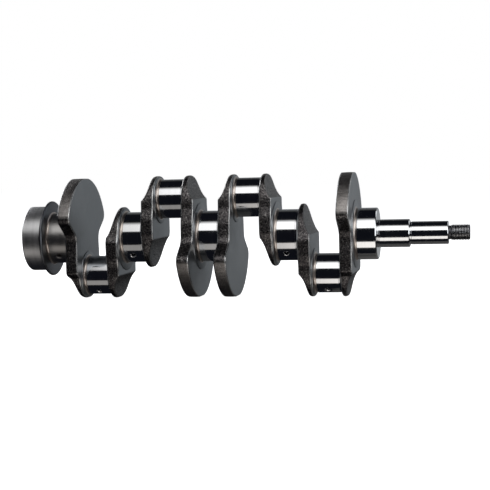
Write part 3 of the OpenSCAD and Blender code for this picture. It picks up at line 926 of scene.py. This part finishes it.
def threadPiece(look):
    # r(x, t) = crest - deep h, where h rises and falls once a pitch along x - pitch t / 2 pi,
    # cut off by the relief, the run-out and the end chamfer
    node = "threaded_nose"
    low, high = nodeBox(node)
    radius = axisAndRadius(node)[1]
    drop, n = look["drop"] * mm, look["segments"]
    x = np.linspace(low[0], high[0], int((high[0] - low[0]) / (look["rowStep"] * mm)) + 1)[:, None]
    t = np.linspace(0, 2 * np.pi, n, endpoint=False)[None, :]
    phase = (x / (look["pitch"] * mm) - t / (2 * np.pi)) % 1
    flank = 1 - 2 * look["crestFlat"]
    groove = np.clip((1 - abs(2 * phase - 1) - look["crestFlat"]) / flank, 0, 1)
    start = low[0] + look["reliefWidth"] * mm
    limit = np.interp(x, [low[0], start, start + look["runOut"] * mm, high[0] - drop, high[0]],
                      [radius - drop, radius - drop, radius, radius, radius - drop])
    r = np.minimum(radius - look["deep"] * mm * groove, limit)
    body = np.stack([np.broadcast_to(x, r.shape), r * np.sin(t), r * np.cos(t)], -1)
    mouth, depth = look["drilling"] * mm, look["drillDepth"] * mm
    root = turned([[low[0], 0.0]], 0.0, n)
    end = turned([[high[0], mouth + 0.2 * mm], [high[0] - 0.1 * mm, mouth],
                  [high[0] - 0.45 * depth, 0.45 * mouth], [high[0] - 0.9 * depth, 0.45 * mouth],
                  [high[0] - depth, 0.0]], 0.0, n)
    points = np.concatenate([root, body, end])
    parts = [(points, gridFaces(len(points), n, False, True))]
    buildPiece(node, noseThreadSteel, parts, crease=50.0)


keySet = {
    "rows": 60,
    "columns": 15,
    "edgeSteps": 4,
    "bandSteps": 4,
    "settle": 0.15,  # mm
    "wave": 0.0,  # mm
    "crown": 0.0,  # mm
    "edge": 0.35,  # mm, radius of the edges
    "top": 0.3,  # mm, bevel beside the flat top
}


def keyPiece(node, look):
    # a Woodruff key: a disc's segment. Its outline is the disc's arc under a flat top.
    low, high = nodeBox(node)
    middle = (low + high) / 2
    halfChord, tall = (high[0] - low[0]) / 2 / mm, (high[1] - low[1]) / mm
    deep = min(tall, halfChord)
    radius = (halfChord ** 2 + deep ** 2) / (2 * deep)
    a = np.linspace(math.asin(min(1.0, halfChord / radius)), 0.05, 50)
    arcPart = np.stack([radius * np.sin(a), radius * (1 - np.cos(a))], -1)
    half = np.concatenate([[[halfChord - look["top"], tall]], [[halfChord, tall - look["top"]]], arcPart])
    outline = evenSteps(half, look["rows"], look["settle"])
    thick = (high[2] - low[2]) / 2 / mm

    def place(x, y, z):
        return np.stack([middle[0] + y * mm, low[1] + z * mm, middle[2] + x * mm], -1)

    n = len(closedLoop(outline, look["columns"]))
    edges = [np.full(n, look["edge"])] * 2
    levels = (lambda z: np.full_like(z, -thick), lambda z: np.full_like(z, thick))
    parts = plateParts(outline, levels, edges, [np.ones(n)] * 2, look, place)
    buildPiece(node, keySteel, [part[:2] for part in parts])


seatPiece("gear_seat", noseSet)
seatPiece("pulley_seat", noseSet)
threadPiece(threadSet)
keyPiece("gear_key", keySet)
keyPiece("pulley_key", keySet)
print("nose turned, threaded and keyed")


# pilot bearing
bearingSet = {
    "groove": 3.1,  # mm, radius of the ball track
    "chamfer": 0.5,  # mm
    "ballRows": 24,
    "ballColumns": 36,
    "strip": 0.35,  # mm, thickness of the cage's strips
    "stripHalf": 0.95,  # mm, half of a strip's radial width
    "segments": 144,
}
sealSet = {
    "gap": 0.3,  # mm that the lip stays clear of the inner race
    "rim": 0.5,  # mm, the outer face's bevel
    "hollow": (0.35, 0.9, 1.3),  # share of the width, then mm in from the rim and out from the lip
    "lip": (0.9, 0.4),  # mm, the lip's outer and inner edge above its foot
    "foot": 0.2,  # mm
    "soft": 0.08,  # mm, rounding of the corners
    "segments": 144,
}
ballCount = 7
innerBore = [m["dims"]["r_mm"] for m in frame["record"]["mounts"] if m["name"] == "pilot_bore"][0] * mm


def racePiece(node, body, outside, look):
    # a ring with a ball track: the track is an arc of the groove's radius about the balls' circle
    low, high = nodeBox(node)
    middle, halfWidth = (low[0] + high[0]) / 2, (high[0] - low[0]) / 2
    circle = (axisAndRadius("pilot_outer_race")[1] + innerBore) / 2
    groove, chamfer = look["groove"] * mm, look["chamfer"] * mm
    shoulder = axisAndRadius("pilot_inner_race")[1]
    edge = 2 * circle - shoulder if outside else shoulder
    far = axisAndRadius(node)[1] if outside else innerBore
    half = math.degrees(math.acos(abs(edge - circle) / groove))
    sign = 1 if outside else -1
    track = arc(middle, circle, groove, sign * (90 + half), sign * (90 - half), 16)
    rest = np.array([[halfWidth, edge], [halfWidth, far - sign * chamfer], [halfWidth - chamfer, far]])
    profile = np.concatenate([track, rest + (middle, 0), rest[::-1] * (-1, 1) + (middle, 0)])
    buildPiece(node, raceSteel, [turnedPart(profile, 0.0, look["segments"], True)], body)


def ballsPiece(look):
    # spheres: centre + R (cos p, sin p cos q, sin p sin q)
    node = "pilot_balls"
    low, high = nodeBox(node)
    radius = (high[0] - low[0]) / 2
    circle = high[1] - radius
    p = np.linspace(0, np.pi, look["ballRows"])[:, None]
    q = np.linspace(0, 2 * np.pi, look["ballColumns"], endpoint=False)[None, :]
    ball = radius * np.stack([np.cos(p) + 0 * q, np.sin(p) * np.cos(q), np.sin(p) * np.sin(q)], -1)
    parts = []
    for a in np.arange(ballCount) * 2 * np.pi / ballCount:
        centre = np.array([low[0] + radius, circle * math.cos(a), circle * math.sin(a)])
        parts.append((ball + centre, gridFaces(look["ballRows"], look["ballColumns"], False, True)))
    buildPiece(node, raceSteel, parts, "ball_set")


def cagePiece(look):
    # two pressed strips. Each follows x = sqrt(R^2 - s^2) round a ball, where s is the
    # distance along the balls' circle, and lies flat against its fellow between balls.
    node = "pilot_ball_cage"
    low, high = nodeBox(node)
    middle = (low[0] + high[0]) / 2
    balls = nodeBox("pilot_balls")
    ballRadius = (balls[1][0] - balls[0][0]) / 2
    circle = balls[1][1] - ballRadius
    reach = (high[0] - low[0]) / 2 - look["strip"] * mm
    t = np.linspace(0, 2 * np.pi, look["segments"] * 2, endpoint=False)
    s = circle * (((t * ballCount / (2 * np.pi) + 0.5) % 1) - 0.5) * 2 * np.pi / ballCount
    rise = np.sqrt(np.maximum(reach ** 2 - s ** 2, (0.05 * mm) ** 2))
    strip, width = look["strip"] * mm, look["stripHalf"] * mm
    parts = []
    for side in (1.0, -1.0):
        lower, upper = circle - width, circle + width
        corners = [(0.0, lower), (0.0, upper), (strip, upper), (strip, lower)]
        rings = [np.stack([middle + side * (rise + x), r * np.cos(t), r * np.sin(t)], -1) for x, r in corners]
        parts.append((np.array(rings), gridFaces(4, len(t), True, True)))
    buildPiece(node, cageBrass, parts, "ball_set")


def sealPiece(node, side, look):
    # a ring with a stepped outer face and a thinner lip near the inner race
    low, high = nodeBox(node)
    outer = axisAndRadius(node)[1]
    inner = axisAndRadius("pilot_inner_race")[1] + look["gap"] * mm
    back, front = (low[0], high[0]) if side > 0 else (high[0], low[0])
    width, foot = front - back, inner + look["foot"] * mm
    deep, fromRim, fromLip = look["hollow"]
    hollow = front - deep * width
    profile = softened([[back, foot], [back, outer], [front, outer], [front, outer - look["rim"] * mm],
                        [hollow, outer - fromRim * mm], [hollow, inner + fromLip * mm],
                        [front, inner + look["lip"][0] * mm], [front, inner + look["lip"][1] * mm],
                        [front - 0.4 * width, inner], [back + 0.2 * width, inner], [back, foot]],
                       look["soft"] * mm, 3)[:-1]
    buildPiece(node, sealRubber, [turnedPart(profile, 0.0, look["segments"], True)])


racePiece("pilot_outer_race", fixedBody, True, bearingSet)
racePiece("pilot_inner_race", "inner_race", False, bearingSet)
ballsPiece(bearingSet)
cagePiece(bearingSet)
sealPiece("pilot_seal_rear", -1.0, sealSet)
sealPiece("pilot_seal_front", 1.0, sealSet)
print("pilot bearing assembled")


# studio
# A panel's level is its radiance. along and up are its brightness from end to end and
# from its lower to its upper edge, each as (place from 0 to 1, share of the level).
studioSet = {
    "floorGap": 0.3,  # mm below the lowest point
    "floorSize": 14.0,  # metres
    "floorTone": (0.9, 0.9, 0.9),
    "floorRough": 0.8,
    "white": (1.0, 1.0, 1.0),  # the floor's own light, and what the camera sees beyond it
    "surround": (0.0060, 0.0068, 0.0100),  # what the metal sees beyond the panels
    "lights": {
        "noseSoftbox": {
            "place": (0.9, -0.30, 0.25), "size": (0.7, 0.7), "watts": 3.2, "colour": (0.95, 0.98, 1.0)},
        "flangeSoftbox": {
            "place": (-1.1, 0.80, 0.60), "size": (1.0, 0.9), "watts": 11.0, "colour": (0.97, 0.98, 1.0)},
    },
    "panels": {
        "keyPanel": {
            "place": (0.15, -0.52, 0.61), "size": (1.6, 0.70), "level": 1.9, "colour": (1.0, 0.995, 0.98),
            "along": [(0.08, 1.0), (0.108, 0.10), (0.14, 0.14), (0.168, 0.48), (0.21, 0.62), (0.26, 0.80),
                      (0.40, 1.0)],
            "up": [(0.0, 0.0), (0.07, 1.0), (0.68, 1.0), (0.84, 0.45), (1.0, 0.04)]},
        "lowPanel": {
            "place": (0.15, -0.47, -0.50), "size": (1.6, 0.37), "level": 1.45, "colour": (1.0, 0.955, 0.90),
            "along": [(0.08, 0.60), (0.13, 0.20), (0.20, 0.24), (0.27, 0.22), (0.31, 0.30), (0.38, 0.56),
                      (0.42, 0.80), (0.46, 1.0)],
            "up": [(0.0, 0.0), (0.08, 1.0), (0.92, 1.0), (1.0, 0.0)]},
        "backPanel": {
            "place": (0.35, 1.0, 0.35), "size": (2.4, 1.4), "level": 0.38, "colour": (0.93, 0.97, 1.0),
            "along": [(0.0, 1.0), (1.0, 1.0)],
            "up": [(0.0, 0.3), (0.15, 1.0), (0.40, 0.85), (0.70, 0.30), (1.0, 0.05)]},
        "rearPanel": {
            "place": (1.15, 0.85, 0.55), "size": (0.9, 0.8), "level": 1.2, "colour": (0.95, 0.98, 1.0),
            "along": [(0.0, 1.0), (1.0, 1.0)],
            "up": [(0.0, 0.4), (0.3, 1.0), (1.0, 1.0)]},
        "underPanel": {
            "place": (0.46, 0.40, -0.57), "size": (0.86, 0.80), "level": 0.14, "colour": (1.0, 0.98, 0.95),
            "along": [(0.0, 0.6), (0.1, 1.0)],
            "up": [(0.0, 0.0), (0.02, 0.9), (0.09, 0.9), (0.13, 0.25), (0.5, 0.6), (1.0, 1.0)]},
    },
}


def facing(place, target):
    # a turn whose Z axis points from target to place and whose X axis is level
    back = (place - target) / np.linalg.norm(place - target)
    across = np.cross([0.0, 0.0, 1.0], back)
    across /= np.linalg.norm(across)
    top = np.cross(back, across)
    return Matrix.Translation(place) @ Matrix([(across[i], top[i], back[i]) for i in range(3)]).to_4x4()


def softbox(name, look):
    # an area light that faces the middle of the shaft
    data = bpy.data.lights.new(name, "AREA")
    data.shape = "RECTANGLE"
    data.size, data.size_y = look["size"]
    data.energy = look["watts"]
    data.color = look["colour"]
    lamp = newObject(name, data)
    lamp.matrix_world = facing(np.array(look["place"]), np.zeros(3))
    lamp.visible_camera = False


def shares(tree, value, stops):
    # a share of brightness read from (place, share) stops
    return ramp(tree, value, [(place, (share, share, share)) for place, share in stops])


def softPanel(name, look):
    # a glowing rectangle that faces the shaft and is hidden from the camera
    width, height = look["size"]
    corners = [(-width / 2, -height / 2, 0), (width / 2, -height / 2, 0), (width / 2, height / 2, 0),
               (-width / 2, height / 2, 0)]
    mesh = bpy.data.meshes.new(name)
    mesh.from_pydata(corners, [], [(0, 1, 2, 3)])
    material, tree, shader = newMaterial(name)
    split = tree.nodes.new("ShaderNodeSeparateXYZ")
    tree.links.new(objectPlace(tree), split.inputs[0])
    flip = 1.0 if look["place"][1] < 0 else -1.0
    acrossShare = remap(tree, split.outputs["X"], 0.0, 1.0, -flip * width / 2, flip * width / 2)
    upShare = remap(tree, split.outputs["Y"], 0.0, 1.0, -height / 2, height / 2)
    along, up = shares(tree, acrossShare, look["along"]), shares(tree, upShare, look["up"])
    strength = calc(tree, "MULTIPLY", calc(tree, "MULTIPLY", along, up), look["level"])
    for key, source in (("Base Color", (0.0, 0.0, 0.0)), ("Emission Color", look["colour"]),
                        ("Emission Strength", strength)):
        feed(tree, source, shader.inputs[key])
    mesh.materials.append(material)
    panel = newObject(name, mesh)
    place = np.array(look["place"])
    panel.matrix_world = facing(place, np.array([place[0], 0.0, 0.0]))
    panel.visible_camera = panel.visible_shadow = False
    panel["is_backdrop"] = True


def makeStudio(look):
    bpy.ops.mesh.primitive_plane_add(size=look["floorSize"],
                                     location=(0, 0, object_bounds()[0][2] - look["floorGap"] * mm))
    floor = bpy.context.object
    floor.name = "studioFloor"
    material, tree, shader = newMaterial("paleFloor")
    for key, source in (("Base Color", look["floorTone"]), ("Roughness", look["floorRough"]),
                        ("Emission Color", look["white"]), ("Emission Strength", 1.0)):
        feed(tree, source, shader.inputs[key])
    floor.data.materials.append(material)
    floor.visible_glossy = floor.visible_diffuse = floor.visible_shadow = False
    floor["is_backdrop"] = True
    world = bpy.data.worlds.new("studioWorld")
    bpy.context.scene.world = world
    world.use_nodes = True
    tree = world.node_tree
    ray = tree.nodes.new("ShaderNodeLightPath")
    tone = mixColour(tree, ray.outputs["Is Camera Ray"], look["surround"], look["white"])
    tree.links.new(tone, tree.nodes["Background"].inputs["Color"])
    for name, light in look["lights"].items():
        softbox(name, light)
    for name, panel in look["panels"].items():
        softPanel(name, panel)


makeStudio(studioSet)
bpy.context.scene.view_settings.view_transform = "Standard"
print("studio lit")
